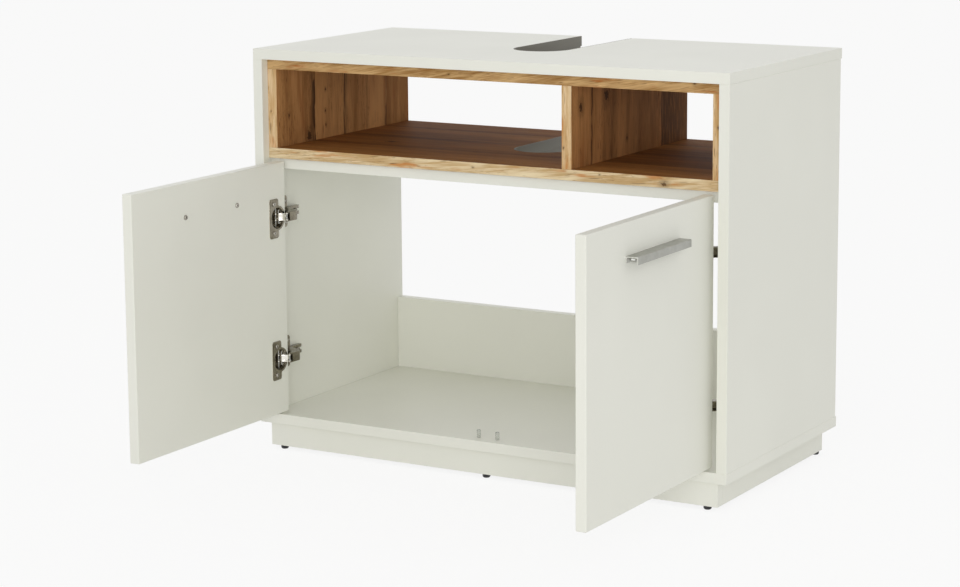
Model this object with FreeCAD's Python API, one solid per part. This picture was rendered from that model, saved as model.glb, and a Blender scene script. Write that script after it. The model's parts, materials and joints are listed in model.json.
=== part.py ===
import FreeCAD, Part
import math
import os

# Wash-basin base cabinet: white boards, an open wood insert under the top, two inset doors on
# concealed four-bar hinges, and a set-back plinth. Lengths are in millimetres. +Z is up, -Y is the
# front, and X = 0 is the middle. The doors stand open at a right angle, as the rest position.

# Carcass
CABINET_WIDTH = 800.0
CABINET_DEPTH = 400.0
CARCASS_HEIGHT = 585.0
BOARD = 16.0
SIDE_BACK_SETBACK = 4.0
BACK_RAIL_HEIGHT = 119.0
SHELF_FRONT_SETBACK = 20.0

# Plinth and glides
PLINTH_HEIGHT = 36.0
PLINTH_SIDE_INSET = 16.0
PLINTH_FRONT_INSET = 6.0
PLINTH_BACK_INSET = 16.0
GLIDE_HEIGHT = 6.0
GLIDE_DIAMETER = 12.0
GLIDE_FOOT_DIAMETER = 9.6
GLIDE_FOOT_HEIGHT = 2.0
GLIDE_END_INSET = 19.0
GLIDE_NAIL_DIAMETER = 2.5
GLIDE_NAIL_LENGTH = 14.0

# Wood insert
INSERT_HEIGHT = 153.0
INSERT_FRONT_SETBACK = 15.0
INSERT_BOARD = 16.0
DIVIDER_FROM_MIDDLE = 136.5

# Rear cut-outs for the drain, one above the other
CUTOUT_WIDTH = 88.0
CUTOUT_FRONT_FROM_FRONT = 150.0
EDGING = 1.5

# Doors
DOOR_THICKNESS = 16.0
DOOR_SIDE_GAP = 2.0
DOOR_MIDDLE_GAP = 3.0
DOOR_TOP_GAP = 4.0
DOOR_BOTTOM_GAP = 4.0
DOOR_EDGE_CHAMFER = 0.8

# Handles: a folded metal channel that opens downwards
HANDLE_LENGTH = 160.0
HANDLE_REACH = 18.5
HANDLE_LIP = 10.5
HANDLE_BACK = 9.0
HANDLE_WALL = 2.0
HANDLE_BELOW_DOOR_TOP = 44.5
HANDLE_SCREW_SPACING = 128.0
HANDLE_BOSS_DIAMETER = 8.0
HANDLE_BOSS_LENGTH = 8.0
HANDLE_SCREW_DIAMETER = 4.0
HANDLE_SCREW_HEAD_DIAMETER = 7.5
HANDLE_SCREW_HEAD_HEIGHT = 2.2

# Door stops: two clear pegs behind the closing edges of the doors
STOP_DIAMETER = 6.0
STOP_HEIGHT = 12.0
STOP_SHANK_DIAMETER = 5.0
STOP_SHANK_LENGTH = 8.0
STOP_TIP_HEIGHT = 2.0
STOP_TIP_DIAMETER = 3.5
STOP_FROM_MIDDLE = 16.0
STOP_CLEARANCE = 0.4

# Dowels
DOWEL_DIAMETER = 8.0
DOWEL_IN_FACE = 10.0
DOWEL_IN_EDGE = 20.0
DOWEL_END_PLAY = 0.5
DOWEL_END_INSET = 60.0
RAIL_DOWEL_INSET = 30.0

# Where an open door stands: its inner face from the side panel, and its hinged edge from the front
DOOR_OPEN_OFFSET = 28.5
DOOR_OPEN_SETBACK = 13.6

# Hinge cup, measured on the door: along its width from the hinged edge, and in from its inner face
HINGE_FROM_DOOR_END = 85.0
CUP_DIAMETER = 35.0
CUP_FROM_EDGE = 22.0
CUP_DEPTH = 11.5
CUP_WALL = 1.0
CUP_FLOOR = 0.8
CUP_BOTTOM_CHAMFER = 1.5
CUP_CLEARANCE = 0.1
FLANGE_THICKNESS = 1.2
FLANGE_RIM = 2.0
FLANGE_WIDTH = 24.0
FLANGE_LENGTH = 61.0
FLANGE_CORNER = 4.0
CUP_SCREW_OFFSET = 9.5
CUP_SCREW_SPACING = 45.0

# Hinge pivots. The cup pivots are (along the door from its hinged edge, depth into the door).
# The inner link's fixed pivot is (from the side panel, behind the front). Its slot lets the pin
# slip, so that both links keep a steady ratio to the door.
OUTER_CUP_PIVOT = (14.8, 7.9)
INNER_CUP_PIVOT = (9.8, 5.6)
OUTER_LINK_LENGTH = 17.4
INNER_ARM_PIVOT = (31.0, 28.8)
INNER_LINK_KNEE = (6.0, -1.6)
DOOR_OVER_OPENING = 5.0
PIN_DIAMETER = 2.2
PIN_RUNNING_CLEARANCE = 0.05
SLOT_CLEARANCE = 0.55
LINK_EYE = 0.9
OUTER_LINK_WIDTH = 11.0
INNER_LINK_WIDTH = 7.0
LINK_PLATE = 1.2
OUTER_LINK_WEB_OFFSET = 2.4
OUTER_LINK_BACK_OFFSET = 0.5
OUTER_LINK_WEB_END_GAP = 3.0
INNER_LINK_THICKNESS = 1.5
LINK_SIDE_CLEARANCE = 0.3
CUP_NOTCH_DEPTH = 2.4
CUP_NOTCH_REACH = 8.0

# Hinge arm and mounting plate
ARM_WALL = 1.4
ARM_HEIGHT = 8.5
ARM_FOOT = 2.6
ARM_TAIL = 80.0
ARM_BEND = 52.0
ARM_NOSE_REACH = 38.0
ARM_KNEE = 34.0
ARM_NOSE_ROUND = 1.95
ARM_THROAT = 21.5
ARM_THROAT_REACH = 2.0
ARM_UNDERSIDE = 36.0
ARM_FOOT_FRONT = 43.0
ARM_BEND_ROUND = 6.0
ARM_SLOT_WIDTH = 4.4
ARM_SLOT_LENGTH = 16.0
PLATE_THICKNESS = 2.0
PLATE_SETBACK = 53.0
PLATE_WING_WIDTH = 10.0
PLATE_WING_LENGTH = 50.0
PLATE_BLOCK_HEIGHT = 6.5
PLATE_BLOCK_FRONT = 43.0
PLATE_BLOCK_BACK = 76.0
PLATE_BLOCK_CHAMFER = 1.5
PLATE_SCREW_SPACING = 32.0
FIXING_SCREW_SETBACK = 70.0
ADJUSTING_SCREW_SETBACK = 60.0

# Chipboard and machine screws of the hinges
WOOD_SCREW_DIAMETER = 3.5
WOOD_SCREW_LENGTH = 13.0
WOOD_SCREW_HEAD_DIAMETER = 7.0
WOOD_SCREW_HEAD_HEIGHT = 1.8
MACHINE_SCREW_DIAMETER = 4.0
MACHINE_SCREW_HEAD_DIAMETER = 7.0
MACHINE_SCREW_HEAD_HEIGHT = 2.4
HEAD_TOP_SHARE = 0.8
SCREW_CLEARANCE = 0.1
SCREW_TIP_ROOM = 1.0

# Small round pieces are drawn with flats: so many sides each, or a flat for so many degrees of turn
CUTOUT_SIDES = 32
CUP_SIDES = 20
PEG_SIDES = 12
EYE_SIDES = 10
BORE_SIDES = 8
DOWEL_SIDES = 6
SCREW_SIDES = 6
FLAT_TURN = 36.0

# Steps in which the path of the inner link's slot is followed, and a length too small to matter
SLOT_PATH_STEPS = 24
TOUCHING = 0.01

# Heights and places worked out from the sizes above
door_height = (CARCASS_HEIGHT - 2 * BOARD - INSERT_HEIGHT) - DOOR_TOP_GAP - DOOR_BOTTOM_GAP
door_width = (CABINET_WIDTH - 2 * BOARD - DOOR_MIDDLE_GAP) / 2 - DOOR_SIDE_GAP
open_reach = door_width - DOOR_OPEN_SETBACK
front_y = (open_reach - CABINET_DEPTH) / 2
back_y = front_y + CABINET_DEPTH
side_back_y = back_y - SIDE_BACK_SETBACK
half_width = CABINET_WIDTH / 2
inner_half = half_width - BOARD
carcass_bottom_z = GLIDE_HEIGHT + PLINTH_HEIGHT
floor_z = carcass_bottom_z + BOARD
top_z = carcass_bottom_z + CARCASS_HEIGHT
top_underside_z = top_z - BOARD
insert_bottom_z = top_underside_z - INSERT_HEIGHT
shelf_bottom_z = insert_bottom_z - BOARD
insert_front_y = front_y + INSERT_FRONT_SETBACK
cutout_front_y = front_y + CUTOUT_FRONT_FROM_FRONT
door_bottom_z = floor_z + DOOR_BOTTOM_GAP
door_top_z = door_bottom_z + door_height
hinge_heights = {
    "lower": door_bottom_z + HINGE_FROM_DOOR_END,
    "upper": door_top_z - HINGE_FROM_DOOR_END,
}
pin_radius = PIN_DIAMETER / 2
eye_radius = pin_radius + LINK_EYE
arm_inner_half = OUTER_LINK_WIDTH / 2 + LINK_SIDE_CLEARANCE
arm_outer_half = arm_inner_half + ARM_WALL

nodes = {}


def vector(x, y, z):
    return FreeCAD.Vector(x, y, z)


def block(x_range, y_range, z_range):
    """A box between two values on each axis."""
    size = [high - low for low, high in (x_range, y_range, z_range)]
    return Part.makeBox(*size, vector(x_range[0], y_range[0], z_range[0]))


def rod(diameter, start, direction, length):
    return Part.makeCylinder(diameter / 2, length, vector(*start), vector(*direction))


def flat_face(corners):
    return Part.Face(Part.makePolygon(corners + corners[:1]))


def bar(sides, diameter, start, direction, length, end_diameter=None):
    """A straight bar with flat sides. Its corners lie on the diameter, and it may taper to its end."""
    if end_diameter is None:
        end_diameter = diameter
    turn = FreeCAD.Rotation(vector(0, 0, 1), vector(*direction))
    rings = []
    for height, width in ((0, diameter), (length, end_diameter)):
        ring = []
        for index in range(sides):
            angle = 2 * math.pi * (index + 0.5) / sides
            corner = vector(width / 2 * math.cos(angle), width / 2 * math.sin(angle), height)
            ring.append(vector(*start) + turn.multVec(corner))
        rings.append(ring)
    first, last = rings
    faces = [flat_face(first), flat_face(last)]
    for index in range(sides):
        following = (index + 1) % sides
        faces.append(flat_face([first[index], first[following], last[following], last[index]]))
    return Part.Solid(Part.Shell(faces))


def bore(diameter, start, direction, length):
    """The space for a round pin: a bar whose flats touch the diameter."""
    across_corners = diameter / math.cos(math.pi / BORE_SIDES)
    return bar(BORE_SIDES, across_corners, start, direction, length)


def compound(solids):
    return Part.makeCompound(solids)


def joined(shapes):
    """One clean solid from overlapping ones."""
    return shapes[0].multiFuse(shapes[1:]).removeSplitter()


def mirrored(shape):
    return shape.mirror(vector(0, 0, 0), vector(1, 0, 0))


def turn_between(centre, start, end):
    """Degrees that a line from the centre turns, from the start to the end point (x, y)."""
    start_angle = math.atan2(start[1] - centre[1], start[0] - centre[0])
    end_angle = math.atan2(end[1] - centre[1], end[0] - centre[0])
    return (math.degrees(end_angle - start_angle) + 180) % 360 - 180


def turned(point, centre, degrees):
    """A point (x, y) turned about another one, anticlockwise from above."""
    angle = math.radians(degrees)
    x = point[0] - centre[0]
    y = point[1] - centre[1]
    turned_x = centre[0] + x * math.cos(angle) - y * math.sin(angle)
    turned_y = centre[1] + x * math.sin(angle) + y * math.cos(angle)
    return (turned_x, turned_y)


def arc_points(centre, start, degrees):
    """Points on an arc from the start point, close enough together to look round."""
    count = max(1, math.ceil(abs(degrees) / FLAT_TURN - TOUCHING))
    return [turned(start, centre, degrees * step / count) for step in range(count + 1)]


def rounded_outline(corners):
    """Outline points. Each corner is (x, y, radius); a radius of 0 stays sharp."""
    points = []
    for index, (x, y, radius) in enumerate(corners):
        if radius == 0:
            points.append((x, y))
            continue
        before = corners[index - 1]
        after = corners[(index + 1) % len(corners)]
        corner = vector(x, y, 0)
        to_before = (vector(before[0], before[1], 0) - corner).normalize()
        to_after = (vector(after[0], after[1], 0) - corner).normalize()
        half_angle = to_before.getAngle(to_after) / 2
        centre = corner + (to_before + to_after).normalize() * (radius / math.sin(half_angle))
        start = corner + to_before * (radius / math.tan(half_angle))
        end = corner + to_after * (radius / math.tan(half_angle))
        turn = turn_between(centre, start, end)
        points += arc_points(centre, start, turn)
    return points


def stadium_outline(first, second, radius):
    """A band with round ends about two points (x, y)."""
    along = vector(second[0] - first[0], second[1] - first[1], 0).normalize()
    across = (-along.y * radius, along.x * radius)
    points = []
    for centre, side in ((first, 1), (second, -1)):
        start = (centre[0] + side * across[0], centre[1] + side * across[1])
        points += arc_points(centre, start, 180)
    return points


def plate(outline, low_z, high_z):
    face = flat_face([vector(x, y, low_z) for x, y in outline])
    return face.extrude(vector(0, 0, high_z - low_z))


def standing_plate(outline, start, thickness):
    """A plate on a wall that faces +X. Its outline is (across the wall, up)."""
    face = flat_face([vector(start[0], start[1] + y, start[2] + z) for y, z in outline])
    return face.extrude(vector(thickness, 0, 0))


# ---- Boards of the carcass ----

def dowel_rows():
    """Each dowel as (centre on the joint, direction from the face board into the edge board)."""
    rows = []
    depths = (front_y + DOWEL_END_INSET, side_back_y - DOWEL_END_INSET)
    middle_x = half_width - BOARD / 2
    shelf_middle_z = shelf_bottom_z + BOARD / 2
    rail_y = side_back_y - BOARD / 2
    rail_heights = (floor_z + RAIL_DOWEL_INSET, floor_z + BACK_RAIL_HEIGHT - RAIL_DOWEL_INSET)
    for sign in (-1, 1):
        for y in depths:
            rows.append(((sign * middle_x, y, floor_z), (0, 0, 1)))
            rows.append(((sign * middle_x, y, top_underside_z), (0, 0, -1)))
            rows.append(((sign * inner_half, y, shelf_middle_z), (-sign, 0, 0)))
        for z in rail_heights:
            rows.append(((sign * inner_half, rail_y, z), (-sign, 0, 0)))
    return rows


def dowels(end_play):
    """Fluted dowels, or with no end play the holes that they sit in."""
    solids = []
    for centre, direction in dowel_rows():
        start = [c - d * (DOWEL_IN_FACE - end_play) for c, d in zip(centre, direction)]
        length = DOWEL_IN_FACE + DOWEL_IN_EDGE - 2 * end_play
        solids.append(bar(DOWEL_SIDES, DOWEL_DIAMETER, start, direction, length))
    return solids


def cutout(width, low_z, high_z):
    """The space of a rear cut-out: parallel sides and a round front end, open at the back."""
    radius = width / 2
    centre_y = cutout_front_y + CUTOUT_WIDTH / 2
    past_back_y = back_y + BOARD
    front_end = bar(CUTOUT_SIDES, width, (0, centre_y, low_z), (0, 0, 1), high_z - low_z)
    straight = block((-radius, radius), (centre_y, past_back_y), (low_z, high_z))
    return joined([front_end, straight])


def cutout_edging(low_z, high_z, end_y):
    outer = cutout(CUTOUT_WIDTH + 2 * EDGING, low_z, high_z)
    inner = cutout(CUTOUT_WIDTH, low_z, high_z)
    past_board = block((-half_width, half_width), (end_y, end_y + CABINET_DEPTH), (low_z, high_z))
    return outer.cut([inner, past_board])


def carcass():
    holes = dowels(0)
    width = (-half_width, half_width)
    inner = (-inner_half, inner_half)
    routed = CUTOUT_WIDTH + 2 * EDGING
    depth = (front_y, back_y)
    stop_holes = [stop_shank(x) for x in stop_places()]
    top_panel = block(width, depth, (top_underside_z, top_z))
    nodes["top_panel"] = top_panel.cut(holes + [cutout(routed, top_underside_z, top_z)])
    bottom_panel = block(width, depth, (carcass_bottom_z, floor_z))
    nodes["bottom_panel"] = bottom_panel.cut(holes + stop_holes)
    side_depth = (front_y, side_back_y)
    side = block((-half_width, -inner_half), side_depth, (floor_z, top_underside_z))
    left_side = side.cut(holes + plate_screw_holes())
    nodes["left_side_panel"] = left_side
    nodes["right_side_panel"] = mirrored(left_side)
    shelf_depth = (front_y + SHELF_FRONT_SETBACK, side_back_y)
    shelf = block(inner, shelf_depth, (shelf_bottom_z, insert_bottom_z))
    nodes["middle_shelf"] = shelf.cut(holes + [cutout(routed, shelf_bottom_z, insert_bottom_z)])
    rail_depth = (side_back_y - BOARD, side_back_y)
    rail = block(inner, rail_depth, (floor_z, floor_z + BACK_RAIL_HEIGHT))
    nodes["back_rail"] = rail.cut(holes)
    nodes["carcass_dowels"] = compound(dowels(DOWEL_END_PLAY))


def wood_insert():
    depth = (insert_front_y, side_back_y)
    inner = (-inner_half, inner_half)
    lower = (insert_bottom_z, insert_bottom_z + INSERT_BOARD)
    upper = (top_underside_z - INSERT_BOARD, top_underside_z)
    between = (lower[1], upper[0])
    routed = CUTOUT_WIDTH + 2 * EDGING
    nodes["insert_bottom_board"] = block(inner, depth, lower).cut(cutout(routed, *lower))
    nodes["insert_top_board"] = block(inner, depth, upper).cut(cutout(routed, *upper))
    left_board = block((-inner_half, -inner_half + INSERT_BOARD), depth, between)
    nodes["insert_left_board"] = left_board
    nodes["insert_right_board"] = mirrored(left_board)
    divider_x = (DIVIDER_FROM_MIDDLE - INSERT_BOARD / 2, DIVIDER_FROM_MIDDLE + INSERT_BOARD / 2)
    nodes["insert_divider"] = block(divider_x, depth, between)


def edgings():
    boards = {
        "top_panel_edging": (top_underside_z, top_z, back_y),
        "insert_top_edging": (top_underside_z - INSERT_BOARD, top_underside_z, side_back_y),
        "insert_bottom_edging": (insert_bottom_z, insert_bottom_z + INSERT_BOARD, side_back_y),
        "middle_shelf_edging": (shelf_bottom_z, insert_bottom_z, side_back_y),
    }
    for name, (low_z, high_z, end_y) in boards.items():
        nodes[name] = cutout_edging(low_z, high_z, end_y)


# ---- Plinth and glides ----

def plinth():
    half = half_width - PLINTH_SIDE_INSET
    heights = (GLIDE_HEIGHT, carcass_bottom_z)
    plinth_front_y = front_y + PLINTH_FRONT_INSET
    plinth_back_y = back_y - PLINTH_BACK_INSET
    nails = [glide_nail(x, y) for x, y in glide_places()]
    front = block((-half, half), (plinth_front_y, plinth_front_y + BOARD), heights)
    back = block((-half + BOARD, half - BOARD), (plinth_back_y - BOARD, plinth_back_y), heights)
    side = block((-half, -half + BOARD), (plinth_front_y + BOARD, plinth_back_y), heights)
    left_side = side.cut(nails)
    nodes["plinth_front"] = front.cut(nails)
    nodes["plinth_back"] = back.cut(nails)
    nodes["plinth_left"] = left_side
    nodes["plinth_right"] = mirrored(left_side)


def glide_places():
    """Centres of the glides: three under the front board, and three behind."""
    end_x = half_width - PLINTH_SIDE_INSET - GLIDE_END_INSET
    side_x = half_width - PLINTH_SIDE_INSET - BOARD / 2
    front_glide_y = front_y + PLINTH_FRONT_INSET + BOARD / 2
    back_glide_y = back_y - PLINTH_BACK_INSET - BOARD / 2
    places = [(x, front_glide_y) for x in (-end_x, 0, end_x)]
    places += [(x, back_glide_y) for x in (-side_x, 0, side_x)]
    return places


def glide_nail(x, y):
    start = (x, y, GLIDE_HEIGHT)
    return bar(SCREW_SIDES, GLIDE_NAIL_DIAMETER, start, (0, 0, 1), GLIDE_NAIL_LENGTH)


def glides():
    solids = []
    for x, y in glide_places():
        shoulder = (x, y, GLIDE_FOOT_HEIGHT)
        foot = bar(PEG_SIDES, GLIDE_DIAMETER, shoulder, (0, 0, -1), GLIDE_FOOT_HEIGHT,
                   GLIDE_FOOT_DIAMETER)
        body_height = GLIDE_HEIGHT - GLIDE_FOOT_HEIGHT
        body = bar(PEG_SIDES, GLIDE_DIAMETER, shoulder, (0, 0, 1), body_height)
        solids.append(joined([foot, body, glide_nail(x, y)]))
    nodes["floor_glides"] = compound(solids)


# ---- Door stops ----

def stop_places():
    return (-STOP_FROM_MIDDLE, STOP_FROM_MIDDLE)


def stop_y():
    return front_y + DOOR_THICKNESS + STOP_CLEARANCE + STOP_DIAMETER / 2


def stop_shank(x):
    start = (x, stop_y(), floor_z - STOP_SHANK_LENGTH)
    return bar(SCREW_SIDES, STOP_SHANK_DIAMETER, start, (0, 0, 1), STOP_SHANK_LENGTH)


def door_stops():
    pegs = []
    for x in stop_places():
        body_height = STOP_HEIGHT - STOP_TIP_HEIGHT
        body = bar(PEG_SIDES, STOP_DIAMETER, (x, stop_y(), floor_z), (0, 0, 1), body_height)
        tip_start = (x, stop_y(), floor_z + body_height)
        tip = bar(PEG_SIDES, STOP_DIAMETER, tip_start, (0, 0, 1), STOP_TIP_HEIGHT, STOP_TIP_DIAMETER)
        pegs.append(joined([body, tip, stop_shank(x)]))
    nodes["door_stops"] = compound(pegs)


# ---- Places on an open door and on a side panel ----
# The left door and the left hinges are drawn, and the right ones are their mirror images.

def on_left_door(along, depth):
    """Plan point on the open left door: along it from the hinged edge, and into it."""
    x = -inner_half + DOOR_OPEN_OFFSET - depth
    y = front_y + DOOR_OPEN_SETBACK - along
    return (x, y)


def on_left_side(out, behind):
    """Plan point by the left side panel: out from its inner face, and behind the front."""
    return (-inner_half + out, front_y + behind)


def on_closed_left_door(along, depth):
    """The same point of the left door as on_left_door gives, once the door is closed."""
    x = -inner_half + DOOR_SIDE_GAP + along
    y = front_y + DOOR_THICKNESS - depth
    return (x, y)


def outer_arm_pivot():
    """The point that lies a link's length from both places of the outer cup pivot."""
    open_x, open_y = on_left_door(*OUTER_CUP_PIVOT)
    closed_x, closed_y = on_closed_left_door(*OUTER_CUP_PIVOT)
    middle_x = (open_x + closed_x) / 2
    middle_y = (open_y + closed_y) / 2
    half_chord = math.hypot(open_x - closed_x, open_y - closed_y) / 2
    rise = math.sqrt(OUTER_LINK_LENGTH ** 2 - half_chord ** 2)
    across_x = (closed_y - open_y) / (2 * half_chord)
    across_y = (open_x - closed_x) / (2 * half_chord)
    return (middle_x + across_x * rise, middle_y + across_y * rise)


def pivots():
    return {
        "outer_cup": on_left_door(*OUTER_CUP_PIVOT),
        "inner_cup": on_left_door(*INNER_CUP_PIVOT),
        "outer_arm": outer_arm_pivot(),
        "inner_arm": on_left_side(*INNER_ARM_PIVOT),
    }


def link_swings():
    """How far the left outer and inner links turn while the door closes by 90 degrees."""
    points = pivots()
    outer_closed = on_closed_left_door(*OUTER_CUP_PIVOT)
    inner_closed = on_closed_left_door(*INNER_CUP_PIVOT)
    outer = turn_between(points["outer_arm"], points["outer_cup"], outer_closed)
    inner = turn_between(points["inner_arm"], points["inner_cup"], inner_closed)
    return outer, inner


def slot_path():
    """Where the inner link's fixed pin lies in the link, from past open to closed."""
    points = pivots()
    outer_swing, inner_swing = link_swings()
    first = -DOOR_OVER_OPENING / 90
    path = []
    for step in range(SLOT_PATH_STEPS + 1):
        part = first + (1 - first) * step / SLOT_PATH_STEPS
        outer_cup = turned(points["outer_cup"], points["outer_arm"], outer_swing * part)
        offset_x = points["inner_cup"][0] - points["outer_cup"][0]
        offset_y = points["inner_cup"][1] - points["outer_cup"][1]
        unturned = (outer_cup[0] + offset_x, outer_cup[1] + offset_y)
        inner_cup = turned(unturned, outer_cup, 90 * part)
        pin_place = turned(points["inner_arm"], inner_cup, -inner_swing * part)
        shift_x = points["inner_cup"][0] - inner_cup[0]
        shift_y = points["inner_cup"][1] - inner_cup[1]
        path.append((pin_place[0] + shift_x, pin_place[1] + shift_y))
    return path


def slot_ends():
    """The two places on the slot's path that lie furthest apart."""
    path = slot_path()
    pairs = [(first, second) for first in path for second in path]
    return max(pairs, key=lambda pair: math.dist(*pair))


def pin(place, half_length, z):
    start = (place[0], place[1], z - half_length)
    return rod(PIN_DIAMETER, start, (0, 0, 1), 2 * half_length)


def pin_space(place, diameter, half_length, z):
    start = (place[0], place[1], z - half_length)
    return bore(diameter, start, (0, 0, 1), 2 * half_length)


# ---- Doors ----

def cup_centre(z):
    x, y = on_left_door(CUP_FROM_EDGE, 0)
    return (x, y, z)


def cup_screw_places(z):
    x, y = on_left_door(CUP_FROM_EDGE + CUP_SCREW_OFFSET, 0)
    return [(x, y, z + sign * CUP_SCREW_SPACING / 2) for sign in (-1, 1)]


def handle_screw_places():
    """Screw centres on the outer face of the open left door."""
    x, _ = on_left_door(0, DOOR_THICKNESS)
    _, middle_y = on_left_door(door_width / 2, 0)
    z = door_top_z - HANDLE_BELOW_DOOR_TOP - HANDLE_WALL - HANDLE_BOSS_DIAMETER / 2
    return [(x, middle_y + sign * HANDLE_SCREW_SPACING / 2, z) for sign in (-1, 1)]


def left_door():
    inner_x, hinged_y = on_left_door(0, 0)
    outer_x, free_y = on_left_door(door_width, DOOR_THICKNESS)
    slab = block((outer_x, inner_x), (free_y, hinged_y), (door_bottom_z, door_top_z))
    slab = slab.makeChamfer(DOOR_EDGE_CHAMFER, slab.Edges)
    into_door = (-1, 0, 0)
    pocket_diameter = CUP_DIAMETER + 2 * CUP_CLEARANCE
    pocket_depth = CUP_DEPTH + CUP_CLEARANCE
    handle_hole_diameter = HANDLE_SCREW_DIAMETER + 2 * SCREW_CLEARANCE
    tools = []
    for z in hinge_heights.values():
        tools.append(bar(CUP_SIDES, pocket_diameter, cup_centre(z), into_door, pocket_depth))
        for place in cup_screw_places(z):
            tools.append(bar(SCREW_SIDES, WOOD_SCREW_DIAMETER, place, into_door, WOOD_SCREW_LENGTH))
    for place in handle_screw_places():
        tools.append(bar(SCREW_SIDES, handle_hole_diameter, place, (1, 0, 0), DOOR_THICKNESS))
    return slab.cut(tools)


# ---- Handles ----

def left_handle():
    face_x, middle_y = on_left_door(door_width / 2, DOOR_THICKNESS)
    top = door_top_z - HANDLE_BELOW_DOOR_TOP
    span = (middle_y - HANDLE_LENGTH / 2, middle_y + HANDLE_LENGTH / 2)
    lip_x = face_x - HANDLE_REACH
    back = block((face_x - HANDLE_WALL, face_x), span, (top - HANDLE_BACK, top))
    roof = block((lip_x, face_x), span, (top - HANDLE_WALL, top))
    lip = block((lip_x, lip_x + HANDLE_WALL), span, (top - HANDLE_LIP, top))
    shell = joined([back, roof, lip])
    folds = [
        edge for edge in shell.Edges
        if edge.Length > HANDLE_LENGTH - TOUCHING
        and edge.CenterOfMass.z > top - TOUCHING
        and edge.CenterOfMass.x < face_x - HANDLE_WALL
    ]
    shell = shell.makeFillet(HANDLE_WALL / 2, folds)
    out = (-1, 0, 0)
    thread_length = HANDLE_BOSS_LENGTH - HANDLE_WALL / 2
    places = handle_screw_places()
    bosses = [bar(PEG_SIDES, HANDLE_BOSS_DIAMETER, place, out, HANDLE_BOSS_LENGTH) for place in places]
    threads = [bar(SCREW_SIDES, HANDLE_SCREW_DIAMETER, place, out, thread_length) for place in places]
    return joined([shell] + bosses).cut(threads)


def screw(place, direction, diameter, length, head_diameter, head_height):
    """A screw whose head sits on the point and whose shank runs along the direction."""
    backwards = tuple(-value for value in direction)
    shank = bar(SCREW_SIDES, diameter, place, direction, length)
    top_diameter = HEAD_TOP_SHARE * head_diameter
    head = bar(SCREW_SIDES, head_diameter, place, backwards, head_height, top_diameter)
    return joined([shank, head])


def handle_screws():
    inner_x, _ = on_left_door(0, 0)
    length = DOOR_THICKNESS + HANDLE_BOSS_LENGTH - HANDLE_WALL
    return compound([
        screw((inner_x, y, z), (-1, 0, 0), HANDLE_SCREW_DIAMETER, length,
              HANDLE_SCREW_HEAD_DIAMETER, HANDLE_SCREW_HEAD_HEIGHT)
        for _, y, z in handle_screw_places()
    ])


# ---- Hinge pieces, drawn about height z ----

def hinge_cup(z):
    """A pressed cup with a flange that screws to the inner face of the door."""
    x, y, _ = cup_centre(z)
    into_door = (-1, 0, 0)
    into_room = (1, 0, 0)
    flange_x = x + FLANGE_THICKNESS
    half_width_y = FLANGE_WIDTH / 2
    half_length_z = FLANGE_LENGTH / 2
    corners = [(-half_width_y, -half_length_z), (half_width_y, -half_length_z),
               (half_width_y, half_length_z), (-half_width_y, half_length_z)]
    outline = rounded_outline([(across, up, FLANGE_CORNER) for across, up in corners])
    flange = standing_plate(outline, (x, y - CUP_SCREW_OFFSET, z), FLANGE_THICKNESS)
    rim = bar(CUP_SIDES, CUP_DIAMETER + 2 * FLANGE_RIM, (x, y, z), into_room, FLANGE_THICKNESS)
    wall_depth = CUP_DEPTH - CUP_BOTTOM_CHAMFER
    wall = bar(CUP_SIDES, CUP_DIAMETER, (x, y, z), into_door, wall_depth)
    bottom_diameter = CUP_DIAMETER - 2 * CUP_BOTTOM_CHAMFER
    bottom = bar(CUP_SIDES, CUP_DIAMETER, (x - wall_depth, y, z), into_door, CUP_BOTTOM_CHAMFER,
                 bottom_diameter)
    hollow_diameter = CUP_DIAMETER - 2 * CUP_WALL
    hollow_wall_depth = FLANGE_THICKNESS + wall_depth - CUP_FLOOR
    hollow_wall = bar(CUP_SIDES, hollow_diameter, (flange_x, y, z), into_door, hollow_wall_depth)
    hollow_bottom = bar(CUP_SIDES, hollow_diameter, (flange_x - hollow_wall_depth, y, z), into_door,
                        CUP_BOTTOM_CHAMFER, hollow_diameter - 2 * CUP_BOTTOM_CHAMFER)
    solid = joined([flange, rim, wall, bottom]).cut(joined([hollow_wall, hollow_bottom]))
    notch_half = OUTER_LINK_WIDTH / 2 + LINK_SIDE_CLEARANCE
    _, hinged_y = on_left_door(0, 0)
    tools = [block(
        (x - CUP_NOTCH_DEPTH, flange_x),
        (hinged_y - CUP_NOTCH_REACH, hinged_y),
        (z - notch_half, z + notch_half),
    )]
    hole_diameter = WOOD_SCREW_DIAMETER + 2 * SCREW_CLEARANCE
    for place in cup_screw_places(z):
        tools.append(bar(SCREW_SIDES, hole_diameter, place, into_room, FLANGE_THICKNESS))
    points = pivots()
    for name in ("outer_cup", "inner_cup"):
        tools.append(pin_space(points[name], PIN_DIAMETER, cup_pin_half_length(name), z))
    return solid.cut(tools)


def cup_pin_half_length(name):
    """Half the length of a pin that ends in the cup's wall."""
    along = {"outer_cup": OUTER_CUP_PIVOT, "inner_cup": INNER_CUP_PIVOT}[name][0]
    wall_middle = CUP_DIAMETER / 2 - CUP_WALL / 2
    farthest = CUP_FROM_EDGE - along + pin_radius
    return math.sqrt(wall_middle ** 2 - farthest ** 2)


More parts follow.
